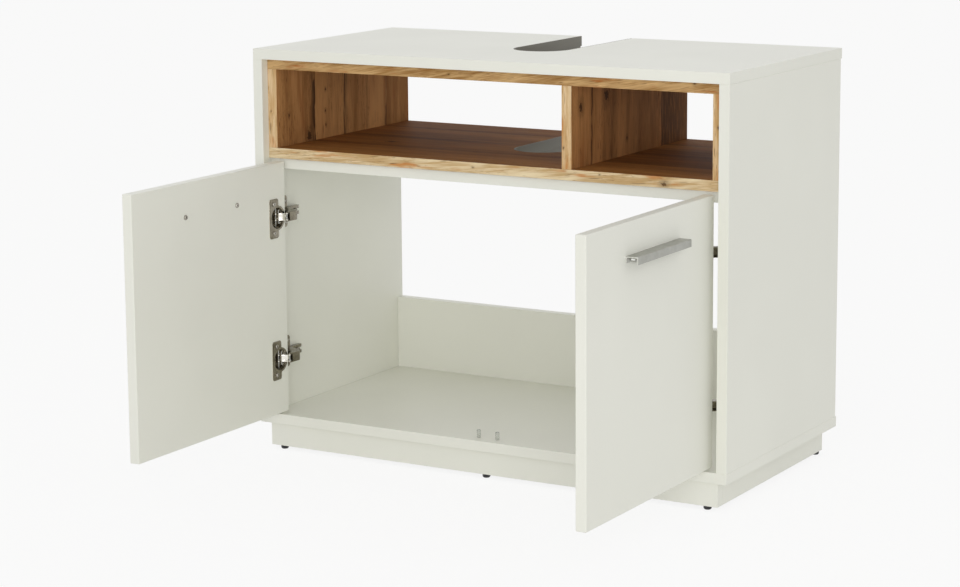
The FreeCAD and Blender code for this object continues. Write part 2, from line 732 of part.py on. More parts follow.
def outer_link(z):
    """A folded channel: a cheek on each side with an eye at each pin, and a web on the room side."""
    points = pivots()
    start = vector(*points["outer_cup"], 0)
    end = vector(*points["outer_arm"], 0)
    along = (end - start).normalize()
    room_side = vector(along.y, -along.x, 0)
    half = OUTER_LINK_WIDTH / 2
    cheek_inner = half - LINK_PLATE
    web_start = start + along * OUTER_LINK_WEB_END_GAP
    web_end = end - along * OUTER_LINK_WEB_END_GAP
    back = room_side * -OUTER_LINK_BACK_OFFSET
    web_back = room_side * (OUTER_LINK_WEB_OFFSET - LINK_PLATE)
    web_front = room_side * OUTER_LINK_WEB_OFFSET
    band = [start + back, start, web_start + web_front, web_end + web_front, end, end + back]
    web = [web_start + web_back, web_start + web_front, web_end + web_front, web_end + web_back]
    pieces = [plate([(p.x, p.y) for p in web], z - half, z + half)]
    for low, high in ((z - half, z - cheek_inner), (z + cheek_inner, z + half)):
        pieces.append(plate([(p.x, p.y) for p in band], low, high))
        for point in (start, end):
            pieces.append(bar(EYE_SIDES, 2 * eye_radius, (point.x, point.y, low), (0, 0, 1), LINK_PLATE))
    bore_diameter = PIN_DIAMETER + 2 * PIN_RUNNING_CLEARANCE
    bores = [pin_space((point.x, point.y), bore_diameter, half, z) for point in (start, end)]
    return joined(pieces).cut(bores)


def inner_link(z):
    """A bent lever that passes over the cup's rim, with a slot for its fixed pin."""
    cup_end = pivots()["inner_cup"]
    knee = on_left_door(*INNER_LINK_KNEE)
    slot_start, slot_end = slot_ends()
    slot_middle = ((slot_start[0] + slot_end[0]) / 2, (slot_start[1] + slot_end[1]) / 2)
    half = INNER_LINK_WIDTH / 2
    low = z - half
    high = z + half
    half_thickness = INNER_LINK_THICKNESS / 2
    slot_radius = pin_radius + SLOT_CLEARANCE
    lever = joined([
        plate(stadium_outline(cup_end, knee, half_thickness), low, high),
        plate(stadium_outline(knee, slot_middle, half_thickness), low, high),
        bar(EYE_SIDES, 2 * eye_radius, (*cup_end, low), (0, 0, 1), high - low),
        plate(stadium_outline(slot_start, slot_end, slot_radius + LINK_EYE), low, high),
    ])
    cup_bore = pin_space(cup_end, PIN_DIAMETER + 2 * PIN_RUNNING_CLEARANCE, half, z)
    slot = plate(stadium_outline(slot_start, slot_end, slot_radius), low, high)
    return lever.cut([cup_bore, slot])


def by_left_side(corners):
    """Corners (from the side panel, behind the front, radius) as corners in plan."""
    origin_x, origin_y = on_left_side(0, 0)
    return [(origin_x + x, origin_y + y, radius) for x, y, radius in corners]


def hinge_arm(z):
    """A folded channel from the mounting plate to the nose that carries both links."""
    origin_x, origin_y = on_left_side(0, 0)
    pivot_x, pivot_y = outer_arm_pivot()
    nose_x = pivot_x - origin_x
    nose_y = pivot_y - origin_y
    outline = rounded_outline(by_left_side([
        (ARM_FOOT, ARM_TAIL, 0),
        (ARM_HEIGHT, ARM_TAIL, 0),
        (ARM_HEIGHT, ARM_BEND, ARM_BEND_ROUND),
        (ARM_NOSE_REACH, ARM_KNEE, ARM_BEND_ROUND),
        (nose_x + eye_radius, nose_y - eye_radius, ARM_NOSE_ROUND),
        (nose_x - eye_radius, nose_y - eye_radius, ARM_NOSE_ROUND),
        (nose_x - eye_radius - ARM_THROAT_REACH, ARM_THROAT, 0),
        (ARM_HEIGHT, ARM_UNDERSIDE, ARM_BEND_ROUND),
        (ARM_FOOT, ARM_FOOT_FRONT, 0),
    ]))
    body = plate(outline, z - arm_outer_half, z + arm_outer_half)
    past = ARM_HEIGHT
    web_end = nose_y + eye_radius + 2 * LINK_PLATE
    web_inner_x = ARM_HEIGHT - ARM_WALL
    reach_inner_x = ARM_NOSE_REACH - ARM_WALL
    # the inside of each bend lies a little nearer the front, which keeps the wall even
    inner_bend = ARM_BEND - ARM_WALL / 3
    inner_knee = ARM_KNEE - ARM_WALL / 2
    cavity_outline = rounded_outline(by_left_side([
        (-past, ARM_TAIL + past, 0),
        (web_inner_x, ARM_TAIL + past, 0),
        (web_inner_x, inner_bend, ARM_BEND_ROUND),
        (reach_inner_x, inner_knee, ARM_BEND_ROUND - ARM_WALL),
        (reach_inner_x, web_end, 0),
        (ARM_NOSE_REACH + past, web_end, 0),
        (ARM_NOSE_REACH + past, -past, 0),
        (-past, -past, 0),
    ]))
    cavity = plate(cavity_outline, z - arm_inner_half, z + arm_inner_half)
    through_x = origin_x + ARM_HEIGHT - 2 * ARM_WALL
    through_length = 3 * ARM_WALL
    slot_end_y = origin_y + ARM_TAIL + past
    slot_start_y = origin_y + ARM_TAIL - ARM_SLOT_LENGTH + ARM_SLOT_WIDTH / 2
    slot_outline = stadium_outline((slot_start_y, 0), (slot_end_y, 0), ARM_SLOT_WIDTH / 2)
    slot = standing_plate(slot_outline, (through_x, 0, z), through_length)
    adjust_diameter = MACHINE_SCREW_DIAMETER + 2 * SCREW_CLEARANCE
    adjust_start = (through_x, origin_y + ADJUSTING_SCREW_SETBACK, z)
    adjust_hole = bar(SCREW_SIDES, adjust_diameter, adjust_start, (1, 0, 0), through_length)
    points = pivots()
    pin_holes = [
        pin_space(points[name], PIN_DIAMETER, arm_outer_half, z) for name in ("outer_arm", "inner_arm")
    ]
    return body.cut([cavity, slot, adjust_hole] + pin_holes)


def plate_screw_places(z):
    x, y = on_left_side(PLATE_THICKNESS, PLATE_SETBACK)
    return [(x, y, z + sign * PLATE_SCREW_SPACING / 2) for sign in (-1, 1)]


def plate_screw_holes():
    holes = []
    for z in hinge_heights.values():
        for x, y, height in plate_screw_places(z):
            start = (x - PLATE_THICKNESS, y, height)
            holes.append(bar(SCREW_SIDES, WOOD_SCREW_DIAMETER, start, (-1, 0, 0), WOOD_SCREW_LENGTH))
    return holes


def machine_screw_places(z):
    """Fixing and adjusting screws: the heads sit on the arm's web."""
    places = []
    for setback in (FIXING_SCREW_SETBACK, ADJUSTING_SCREW_SETBACK):
        x, y = on_left_side(ARM_HEIGHT, setback)
        places.append((x, y, z))
    return places


def mounting_plate(z):
    """A wing plate on the side panel, with a raised block that the arm is screwed to."""
    origin_x, origin_y = on_left_side(0, 0)
    half_spread = (PLATE_WING_LENGTH - PLATE_WING_WIDTH) / 2
    wing_outline = stadium_outline((0, -half_spread), (0, half_spread), PLATE_WING_WIDTH / 2)
    wing = standing_plate(wing_outline, (origin_x, origin_y + PLATE_SETBACK, z), PLATE_THICKNESS)
    block_half = arm_inner_half - LINK_SIDE_CLEARANCE
    front = origin_y + PLATE_BLOCK_FRONT
    back = origin_y + PLATE_BLOCK_BACK
    top_x = origin_x + PLATE_BLOCK_HEIGHT
    raised = block((origin_x, top_x), (front, back), (z - block_half, z + block_half))
    ends = [
        edge for edge in raised.Edges
        if edge.CenterOfMass.x > top_x - TOUCHING and abs(edge.CenterOfMass.z - z) < TOUCHING
    ]
    raised = raised.makeChamfer(PLATE_BLOCK_CHAMFER, ends)
    screw_hole_diameter = WOOD_SCREW_DIAMETER + 2 * SCREW_CLEARANCE
    into_panel = (-1, 0, 0)
    holes = []
    for place in plate_screw_places(z):
        holes.append(bar(SCREW_SIDES, screw_hole_diameter, place, into_panel, PLATE_THICKNESS))
    thread_depth = ARM_HEIGHT - PLATE_THICKNESS / 2
    for place in machine_screw_places(z):
        holes.append(bar(SCREW_SIDES, MACHINE_SCREW_DIAMETER, place, into_panel, thread_depth))
    return joined([wing, raised]).cut(holes)


def machine_screws(z):
    length = ARM_HEIGHT - PLATE_THICKNESS
    return [
        screw(place, (-1, 0, 0), MACHINE_SCREW_DIAMETER, length,
              MACHINE_SCREW_HEAD_DIAMETER, MACHINE_SCREW_HEAD_HEIGHT)
        for place in machine_screw_places(z)
    ]


def wood_screws(places, standing_out):
    length = WOOD_SCREW_LENGTH - SCREW_TIP_ROOM
    screws = []
    for x, y, z in places:
        seat = (x + standing_out, y, z)
        screws.append(screw(seat, (-1, 0, 0), WOOD_SCREW_DIAMETER, length,
                            WOOD_SCREW_HEAD_DIAMETER, WOOD_SCREW_HEAD_HEIGHT))
    return screws


def add_on_both_sides(name, shape):
    nodes["left_" + name] = shape
    nodes["right_" + name] = mirrored(shape)


def doors_and_hinges():
    add_on_both_sides("door", left_door())
    add_on_both_sides("handle", left_handle())
    add_on_both_sides("handle_screws", handle_screws())
    points = pivots()
    cup_screws = []
    cup_pins = []
    arm_pins = []
    plate_screws = []
    adjusting_screws = []
    for level, z in hinge_heights.items():
        add_on_both_sides(level + "_hinge_cup", hinge_cup(z))
        add_on_both_sides(level + "_outer_link", outer_link(z))
        add_on_both_sides(level + "_inner_link", inner_link(z))
        add_on_both_sides(level + "_hinge_arm", hinge_arm(z))
        add_on_both_sides(level + "_mounting_plate", mounting_plate(z))
        cup_screws += wood_screws(cup_screw_places(z), FLANGE_THICKNESS)
        plate_screws += wood_screws(plate_screw_places(z), 0)
        adjusting_screws += machine_screws(z)
        cup_pins += [pin(points[n], cup_pin_half_length(n), z) for n in ("outer_cup", "inner_cup")]
        arm_pins += [pin(points[n], arm_outer_half, z) for n in ("outer_arm", "inner_arm")]
    add_on_both_sides("cup_screws", compound(cup_screws))
    add_on_both_sides("cup_pins", compound(cup_pins))
    add_on_both_sides("arm_pins", compound(arm_pins))
    add_on_both_sides("plate_screws", compound(plate_screws))
    add_on_both_sides("adjusting_screws", compound(adjusting_screws))


def write_parts():
    os.makedirs("parts", exist_ok=True)
    for name, shape in nodes.items():
        shape.exportStep(os.path.join("parts", name + ".step"))


carcass()
wood_insert()
edgings()
plinth()
glides()
door_stops()
doors_and_hinges()
write_parts()
print(len(nodes), "nodes written")
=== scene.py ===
import json
import math

import bmesh
import bpy
from mathutils import Matrix, Vector

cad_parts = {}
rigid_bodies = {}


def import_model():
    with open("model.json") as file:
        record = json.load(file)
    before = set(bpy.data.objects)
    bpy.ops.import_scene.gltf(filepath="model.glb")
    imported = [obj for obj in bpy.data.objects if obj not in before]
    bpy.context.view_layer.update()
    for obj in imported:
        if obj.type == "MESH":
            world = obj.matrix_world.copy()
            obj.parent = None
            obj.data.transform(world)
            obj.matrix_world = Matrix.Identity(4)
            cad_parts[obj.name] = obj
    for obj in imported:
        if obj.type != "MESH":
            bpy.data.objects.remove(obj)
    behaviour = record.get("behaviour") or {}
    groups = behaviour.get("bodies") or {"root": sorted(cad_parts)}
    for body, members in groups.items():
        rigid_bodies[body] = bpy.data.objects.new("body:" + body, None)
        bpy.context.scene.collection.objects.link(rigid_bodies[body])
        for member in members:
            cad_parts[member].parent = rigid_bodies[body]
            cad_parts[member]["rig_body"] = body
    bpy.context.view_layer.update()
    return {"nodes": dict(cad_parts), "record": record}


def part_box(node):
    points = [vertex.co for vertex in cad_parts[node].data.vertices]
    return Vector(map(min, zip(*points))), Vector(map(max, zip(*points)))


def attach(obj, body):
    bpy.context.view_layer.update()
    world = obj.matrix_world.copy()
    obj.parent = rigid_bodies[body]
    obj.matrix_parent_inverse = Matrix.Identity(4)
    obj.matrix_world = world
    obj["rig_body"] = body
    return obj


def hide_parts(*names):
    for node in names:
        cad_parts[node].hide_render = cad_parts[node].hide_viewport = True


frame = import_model()
cadNodes = frame["nodes"]
slotOfNode = {part["node"]: part["material_slot"] for part in frame["record"]["subparts"]}
mm = 0.001
mergeDistance = 0.001 * mm
noiseRange = (0.3, 0.7)  # a noise value seldom lies outside these
print("frame loaded:", len(cadNodes), "nodes")


def fromHex(code):
    # sRGB hex to Blender's linear colour
    channels = [int(code[i:i + 2], 16) / 255 for i in (1, 3, 5)]
    linear = [c / 12.92 if c <= 0.04045 else ((c + 0.055) / 1.055) ** 2.4 for c in channels]
    return (*linear, 1.0)


def addNode(tree, kind, inputs=None, **settings):
    node = tree.nodes.new("ShaderNode" + kind)
    for name, value in settings.items():
        setattr(node, name, value)
    for name, value in (inputs or {}).items():
        if isinstance(value, bpy.types.NodeSocket):
            tree.links.new(value, node.inputs[name])
        else:
            node.inputs[name].default_value = value
    return node


def newMaterial(name):
    material = bpy.data.materials.new(name)
    material.use_nodes = True
    tree = material.node_tree
    return material, tree, tree.nodes["Principled BSDF"]


def grain(tree, vector, along, across, detail=3.0, roughness=0.5):
    # noise whose features are so many mm long and wide; vector runs along the grain in x
    scale = (1 / (along * mm), 1 / (across * mm), 1 / (across * mm))
    stretched = addNode(tree, "Mapping", {"Vector": vector, "Scale": scale})
    return addNode(tree, "TexNoise", {
        "Vector": stretched.outputs["Vector"], "Scale": 1.0, "Detail": detail, "Roughness": roughness,
    }).outputs["Fac"]


def mixColours(tree, factor, first, second):
    return addNode(tree, "Mix", {0: factor, 6: first, 7: second}, data_type="RGBA").outputs[2]


def spread(tree, value, low, high, toLow=0.0, toHigh=1.0):
    node = addNode(tree, "MapRange", {
        "Value": value, "From Min": low, "From Max": high, "To Min": toLow, "To Max": toHigh,
    }, interpolation_type="SMOOTHSTEP")
    return node.outputs["Result"]


def calculate(tree, operation, first, second=0.0):
    return addNode(tree, "Math", {0: first, 1: second}, operation=operation).outputs[0]


def multiply(tree, first, second):
    return calculate(tree, "MULTIPLY", first, second)


def objectPlace(tree):
    return addNode(tree, "TexCoord").outputs["Object"]


def setColour(tree, shader, mask, low, high):
    tree.links.new(mixColours(tree, mask, fromHex(low), fromHex(high)), shader.inputs["Base Color"])


def setRoughness(tree, shader, noise, low, high):
    tree.links.new(spread(tree, noise, *noiseRange, low, high), shader.inputs["Roughness"])


def setBump(tree, shader, height, strength, depth):
    bump = addNode(tree, "Bump", {"Height": height, "Strength": strength, "Distance": depth * mm})
    tree.links.new(bump.outputs["Normal"], shader.inputs["Normal"])


def satinMelamine(name, low, high):
    # melamine facing pressed on a satin plate: even white, a soft sheen, a barely felt pearl texture
    material, tree, shader = newMaterial(name)
    place = objectPlace(tree)
    cloud = grain(tree, place, 260, 260, 2)
    pearl = grain(tree, place, 1.4, 1.4, 2)  # real pearl is about 0.3 mm, drawn coarser to show
    setColour(tree, shader, spread(tree, cloud, 0.35, 0.65), low, high)
    setRoughness(tree, shader, pearl, 0.36, 0.44)
    setBump(tree, shader, pearl, 0.12, 0.06)
    shader.inputs["IOR"].default_value = 1.52
    return material


def oakMarks(tree, place, look):
    # joints between the planks, the step in tone at each one, and knots, all at given places in mm; a joint
    # with a long fade can also paint shade over a face
    axes = addNode(tree, "SeparateXYZ", {0: place}).outputs
    along = axes[look["along"]]
    sway = look["sway"] * mm
    bend = spread(tree, grain(tree, place, oakPrint["bend"], oakPrint["bend"], 2), 0.25, 0.75, -sway, sway)
    across = calculate(tree, "ADD", axes[look["across"]], bend)
    hard = oakPrint["jointEdge"] * mm
    joint = 0.0
    tone = 0.0
    for position, fade, step, share in look["joints"]:
        gap = calculate(tree, "SUBTRACT", across, position * mm)
        near, far = sorted((0.0, fade * mm))
        if fade > 0:
            soft = spread(tree, gap, near, far, 1.0, 0.0)
            edge = spread(tree, gap, -hard, 0.0)
        else:
            soft = spread(tree, gap, near, far)
            edge = spread(tree, gap, 0.0, hard, 1.0, 0.0)
        streak = multiply(tree, multiply(tree, soft, edge), share)
        joint = calculate(tree, "MAXIMUM", joint, streak)
        tone = calculate(tree, "ADD", tone, spread(tree, gap, -hard, hard, 0.0, step))
    ragged = grain(tree, place, oakPrint["knotEdge"], oakPrint["knotEdge"], 2)
    ragged = spread(tree, ragged, 0.25, 0.75, -0.3, 0.3)
    knot = 0.0
    for spotAlong, spotAcross, radius in look["knots"]:
        squares = []
        for axis, spot, reach in ((along, spotAlong, radius * oakPrint["knotStretch"]),
                                  (across, spotAcross, radius)):
            away = calculate(tree, "SUBTRACT", axis, spot * mm)
            away = calculate(tree, "DIVIDE", away, reach * mm)
            squares.append(multiply(tree, away, away))
        distance = calculate(tree, "SQRT", calculate(tree, "ADD", *squares))
        distance = calculate(tree, "ADD", distance, ragged)
        core = spread(tree, distance, 0.5, 1.1, 1.0, 0.0)
        halo = spread(tree, distance, 0.9, 2.6, 0.35, 0.0)
        knot = calculate(tree, "MAXIMUM", knot, calculate(tree, "MAXIMUM", core, halo))
    return joint, tone, knot


def wildOak(name, look):
    # printed wild-oak decor with pressed pores: matt planks, dark joints and cracks, knots, rust
    material, tree, shader = newMaterial(name)
    place = objectPlace(tree)
    turn = (0, math.radians(90), 0) if look["along"] == 2 else (0, 0, 0)
    tilt = (0, math.radians(look["tilt"]), 0)
    run = addNode(tree, "Mapping", {
        "Vector": place, "Rotation": turn, "Location": look["shift"],
    }).outputs[0]
    tilted = addNode(tree, "Mapping", {"Vector": run, "Rotation": tilt}).outputs[0]
    elsewhere = addNode(tree, "Mapping", {"Vector": run, "Location": oakPrint["elsewhere"]}).outputs[0]
    joint, tone, knot = oakMarks(tree, place, look)

    width = look["plank"]
    plank = grain(tree, run, width * 9, width, 1)
    wave = grain(tree, tilted, width * 3, width / 4, 3)
    fibre = grain(tree, tilted, *oakPrint["fibre"], 4, 0.6)
    mixture = tone
    for pattern, share in ((plank, 0.36), (wave, 0.34), (fibre, 0.3)):
        mixture = calculate(tree, "ADD", mixture, multiply(tree, pattern, share))
    mixture = spread(tree, mixture, 0.5 - look["contrast"], 0.5 + look["contrast"])
    shade = mixColours(tree, mixture, fromHex(look["deep"]), fromHex(look["pale"]))

    rust = spread(tree, grain(tree, elsewhere, width * 3, width / 2.2, 2), 0.56, 0.74)
    breaks = grain(tree, elsewhere, *oakPrint["breaks"], 2)
    joint = multiply(tree, joint, spread(tree, breaks, 0.34, 0.56, 0.35, 1.0))
    cluster = spread(tree, grain(tree, elsewhere, width * 2, width / 1.6, 1), 0.46, 0.6)
    pore = multiply(tree, spread(tree, grain(tree, run, *oakPrint["pore"], 2), 0.58, 0.68), cluster)
    crack = spread(tree, grain(tree, tilted, *oakPrint["crack"], 1), 0.7, 0.76)
    for mask, share, key in (
        (rust, look["rustShare"], "rust"), (joint, 1.0, "crack"), (pore, oakPrint["poreShare"], "pore"),
        (crack, oakPrint["crackShare"], "crack"), (knot, oakPrint["knotShare"], "crack"),
    ):
        shade = mixColours(tree, multiply(tree, mask, share), shade, fromHex(look[key]))
    tree.links.new(shade, shader.inputs["Base Color"])
    setRoughness(tree, shader, fibre, 0.58, 0.7)
    hollow = calculate(tree, "MAXIMUM", pore, crack)
    setBump(tree, shader, calculate(tree, "SUBTRACT", multiply(tree, fibre, 0.4), hollow), 0.5, 0.12)
    shader.inputs["Specular IOR Level"].default_value = 0.06
    return material


def mouldedPlastic(name, low, high, roughness, texture):
    # moulded or extruded plastic: even colour, a fine spark-eroded skin
    material, tree, shader = newMaterial(name)
    skin = grain(tree, objectPlace(tree), texture, texture, 3)
    setColour(tree, shader, spread(tree, skin, *noiseRange), low, high)
    setRoughness(tree, shader, skin, roughness - 0.06, roughness + 0.06)
    setBump(tree, shader, skin, 0.2, 0.05)
    shader.inputs["IOR"].default_value = 1.49
    return material


def clearPolycarbonate(name):
    # injection-moulded polycarbonate: clear, with a slightly milky skin that catches the light
    material, tree, shader = newMaterial(name)
    setRoughness(tree, shader, grain(tree, objectPlace(tree), 1.2, 1.2, 2), 0.14, 0.3)
    shader.inputs["Base Color"].default_value = fromHex("#E4E6E2")
    shader.inputs["Transmission Weight"].default_value = 0.85
    shader.inputs["IOR"].default_value = 1.58
    return material


def metalSkin(name, low, high, roughness, brushed, scratch):
    # metal with a drawn or brushed direction: streaks so many mm long and wide in the three axes
    material, tree, shader = newMaterial(name)
    place = objectPlace(tree)
    streakSpace = addNode(tree, "Mapping", {
        "Vector": place, "Scale": tuple(1 / (size * mm) for size in brushed),
    }).outputs[0]
    streak = addNode(tree, "TexNoise", {"Vector": streakSpace, "Scale": 1.0, "Detail": 3.0}).outputs["Fac"]
    blotch = grain(tree, place, 9, 9, 2)
    setColour(tree, shader, spread(tree, blotch, *noiseRange), low, high)
    setRoughness(tree, shader, streak, roughness - 0.07, roughness + 0.07)
    setBump(tree, shader, streak, scratch, 0.02)
    shader.inputs["Metallic"].default_value = 1.0
    return material


def flutedBeech(name):
    # turned beech with pressed flutes: pale pink-brown, short flecks along the dowel
    material, tree, shader = newMaterial(name)
    fleck = grain(tree, objectPlace(tree), 2.5, 0.6, 3)
    setColour(tree, shader, spread(tree, fleck, 0.35, 0.7), "#B98B60", "#DDBB92")
    setBump(tree, shader, fleck, 0.3, 0.1)
    shader.inputs["Roughness"].default_value = 0.7
    return material


# lengths in mm, pairs are long and wide; knotStretch is a knot's length to its width, and elsewhere
# is where in the noise the rust and the pores are read
oakPrint = {
    "jointEdge": 0.9, "knotStretch": 1.5, "knotEdge": 3, "bend": 55, "elsewhere": (0.41, 0.27, 0.33),
    "fibre": (34, 1.5), "breaks": (30, 5), "pore": (12, 1.3), "crack": (30, 2.2),
    "poreShare": 0.6, "crackShare": 0.5, "knotShare": 0.85,
}
# along and across name the axes (0 to 2) of the grain. Joints are (place, fade, change of tone,
# darkness) and knots are (place along, place across, radius), with the lengths in mm
faceOak = {
    "along": 0, "across": 1, "shift": (0.13, 0.07, 0.02), "tilt": 2.0, "plank": 60.0, "sway": 2.0,
    "pale": "#AF7B44", "deep": "#815328", "rust": "#96582B", "rustShare": 0.5, "contrast": 0.16,
    "pore": "#5A381C", "crack": "#331C0C",
    "joints": ((95, 26, -0.05, 0.35), (205, -20, 0.04, 0.3), (300, 26, -0.05, 0.35)),
    "knots": ((60, 300, 6), (-250, 140, 5)),
}
uprightOak = {
    **faceOak, "along": 2, "shift": (0.05, 0.19, 0.11), "plank": 50.0, "contrast": 0.15,
    "pale": "#CF9A62", "deep": "#98693B",
    "joints": ((104, -18, 0.08, 0.9), (186, 15, 0.0, 0.75), (250, 9, 0.0, 0.3), (312, -8, -0.2, 0.75)),
    "knots": ((483, 87, 6.5), (551, 133, 1.9), (517, 133, 1.9), (495, 133, 1.9), (520, 30, 2.4)),
}
dividerOak = {
    **uprightOak, "shift": (0.21, 0.43, 0.02), "pale": "#C68F59", "deep": "#8C5F35",
    # the last joint is painted shade: from 288 mm towards the back it darkens the divider's face and steps
    # its tone down, as shade deep in the compartment
    "joints": ((63, -7, 0.02, 0.9), (122, 30, -0.03, 0.25), (210, -30, -0.06, 0.2), (288, 300, -0.16, 0.6)),
    "knots": ((561, 27, 6.0), (571, 108, 7.0), (500, 175, 2.5)),
}
edgeOak = {
    "along": 0, "across": 2, "shift": (0.0, 0.0, 0.0), "tilt": 6.0, "plank": 17.0, "sway": 1.0,
    "pale": "#EFDCB6", "deep": "#C4A271", "rust": "#C98549", "rustShare": 0.8, "contrast": 0.12,
    "pore": "#86603A", "crack": "#52351C",
    "joints": (), "knots": ((293, 464, 3.6), (-20, 467, 1.2), (190, 470, 1.0)),
}
edgeOakTop = {
    **edgeOak, "shift": (0.3, 0.0, 0.05), "tilt": 10.0,
    "pale": "#DAB581", "deep": "#9F7644", "rust": "#AC6530",
    "knots": ((340, 609, 2.2), (-60, 602, 1.2)),
}
edgeOakUpright = {
    **edgeOak, "along": 2, "across": 0, "shift": (0.1, 0.0, 0.21), "tilt": 1.0,
    "pale": "#EDD2A9", "deep": "#C79D66",
    "knots": ((530, -379, 1.0), (505, 132, 1.2), (548, 376, 1.4)),
}

# name, lower and higher colour, roughness, streak size in mm on each axis, scratch strength
metals = {
    "handle": ("satin_anodised_aluminium", "#A6A69F", "#AEAEA7", 0.38, (0.5, 14, 0.5), 0.25),
    "cutAluminium": ("sawn_aluminium", "#DCDCD8", "#EBEBE8", 0.3, (0.5, 0.5, 5), 0.3),
    "screw": ("nickel_plated_screw_steel", "#9A968C", "#ADA9A0", 0.28, (1.5, 1.5, 1.5), 0.3),
    "pin": ("drawn_steel", "#A9A9A6", "#BDBDB9", 0.25, (0.4, 0.4, 6), 0.2),
    # the polished nickel of the links also serves as a painted highlight on the hinge cups' front faces
    "link": ("polished_nickel_plate_and_painted_highlight", "#EFEBE1", "#F7F4EC", 0.16, (2, 2, 2), 0.1),
    "nickel": ("satin_nickel_plated_steel", "#7D7768", "#8C8676", 0.26, (1.2, 1.2, 8), 0.25),
}
materials = {
    "white": satinMelamine("satin_white_melamine", "#EDEDE3", "#F0F0E6"),
    "oakFlat": wildOak("wild_oak_facing_lying", faceOak),
    "oakUpright": wildOak("wild_oak_facing_upright", uprightOak),
    "oakDivider": wildOak("wild_oak_facing_divider", dividerOak),
    "oakEdge": wildOak("wild_oak_edge_lying", edgeOak),
    "oakEdgeTop": wildOak("wild_oak_edge_top", edgeOakTop),
    "oakEdgeUpright": wildOak("wild_oak_edge_upright", edgeOakUpright),
    "edging": mouldedPlastic("matt_grey_abs_edging", "#6D6A5E", "#787568", 0.5, 1.0),
    "glide": mouldedPlastic("black_polyethylene", "#16161A", "#202022", 0.42, 0.8),
    "stop": clearPolycarbonate("clear_polycarbonate"),
    "dowel": flutedBeech("fluted_beech"),
    **{key: metalSkin(*look) for key, look in metals.items()},
}
# for the nodes that are dressed by their slot and not by name
materialOfSlot = {
    "beech_dowel": "dowel", "steel_pin": "pin", "polished_nickel": "link", "nickel_steel": "nickel",
}
print("materials made:", len(materials))


def nodeCopy(nodeName):
    # the CAD node's mesh as one skin
    bm = bmesh.new()
    bm.from_mesh(cadNodes[nodeName].data)
    bmesh.ops.remove_doubles(bm, verts=bm.verts, dist=mergeDistance)
    return bm


def vertsIn(items):
    return [item for item in items if isinstance(item, bmesh.types.BMVert)]


def inOrder(items):
    # each item once, in the order met
    return list(dict.fromkeys(items))


def roundEdges(bm, look):
    limit = math.radians(look["sharperThan"])
    edges = [e for e in bm.edges if len(e.link_faces) == 2 and e.calc_face_angle(0.0) > limit]
    bmesh.ops.bevel(bm, geom=edges, offset=look["round"] * mm, offset_type="OFFSET", affect="EDGES",
                    segments=look["segments"], profile=0.5, material=-1, clamp_overlap=True)


def softened(nodeName, look):
    # the node's own shape, its flat faces whole again and its edges rounded
    bm = nodeCopy(nodeName)
    bmesh.ops.dissolve_limit(bm, angle_limit=math.radians(0.5), verts=bm.verts, edges=bm.edges)
    roundEdges(bm, look)
    return bm


def finishPiece(name, bm, nodeNames, pieceMaterials, smoothBelow=0):
    mesh = bpy.data.meshes.new(name)
    bm.to_mesh(mesh)
    bm.free()
    for key in pieceMaterials:
        mesh.materials.append(materials[key])
    if smoothBelow:
        mesh.shade_smooth()
        mesh.set_sharp_from_angle(angle=math.radians(smoothBelow))
    piece = bpy.data.objects.new(name, mesh)
    bpy.context.scene.collection.objects.link(piece)
    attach(piece, cadNodes[nodeNames[0]]["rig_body"])
    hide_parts(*nodeNames)


def partsOf(nodeName):
    # lowest and highest corner of each separate solid in a node
    bm = nodeCopy(nodeName)
    seen = set()
    boxes = []
    for start in bm.verts:
        if start.index in seen:
            continue
        seen.add(start.index)
        waiting = [start]
        low = start.co.copy()
        high = start.co.copy()
        while waiting:
            vertex = waiting.pop()
            low = Vector(map(min, low, vertex.co))
            high = Vector(map(max, high, vertex.co))
            for edge in vertex.link_edges:
                other = edge.other_vert(vertex)
                if other.index not in seen:
                    seen.add(other.index)
                    waiting.append(other)
        boxes.append((low, high))
    bm.free()
    return sorted(boxes, key=lambda box: tuple(round(c, 5) for c in box[0]))


def turnedPiece(bm, profile, steps, placing):
    # a profile of (radius, height) in mm, spun about its own upright axis and then placed
    before = set(bm.verts)
    chain = [bm.verts.new((radius * mm, 0, height * mm)) for radius, height in profile]
    edges = [bm.edges.new(pair) for pair in zip(chain, chain[1:])]
    bmesh.ops.spin(bm, geom=chain + edges, cent=(0, 0, 0), axis=(0, 0, 1), angle=2 * math.pi,
                   steps=steps, use_merge=True, use_duplicate=False)
    made = [v for v in bm.verts if v not in before]
    bmesh.ops.remove_doubles(bm, verts=made, dist=2 * mergeDistance)
    made = [v for v in bm.verts if v not in before]
    faces = inOrder(f for v in made for f in v.link_faces)
    bmesh.ops.recalc_face_normals(bm, faces=faces)
    bmesh.ops.transform(bm, matrix=placing, verts=made)


def outwardPlacing(centre, outward):
    # from an upright axis to one that points along X
    turn = Matrix.Rotation(math.radians(90 * outward), 4, "Y")
    return Matrix.Translation(centre) @ turn


boardLook = {"round": 0.5, "segments": 2, "sharperThan": 50}
doorLook = {"round": 0.28, "segments": 2, "sharperThan": 30}
plainBoards = ["left_side_panel", "right_side_panel", "bottom_panel", "back_rail",
               "plinth_front", "plinth_back", "plinth_left", "plinth_right"]

for nodeName in plainBoards:
    finishPiece(nodeName + "_board", softened(nodeName, boardLook), [nodeName], ["white"])
for nodeName in ("left_door", "right_door"):
    finishPiece(nodeName + "_leaf", softened(nodeName, doorLook), [nodeName], ["white"])
print("white boards done")


edgingLook = {"arcSteps": 40, "thickness": 1.5, "round": 0.3, "segments": 2, "sharperThan": 50,
              "smoothBelow": 30}


def cutSize(edgingName):
    # half the routed width, and where its round end has its centre
    low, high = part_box(edgingName)
    radius = high.x
    return radius, low.y + radius


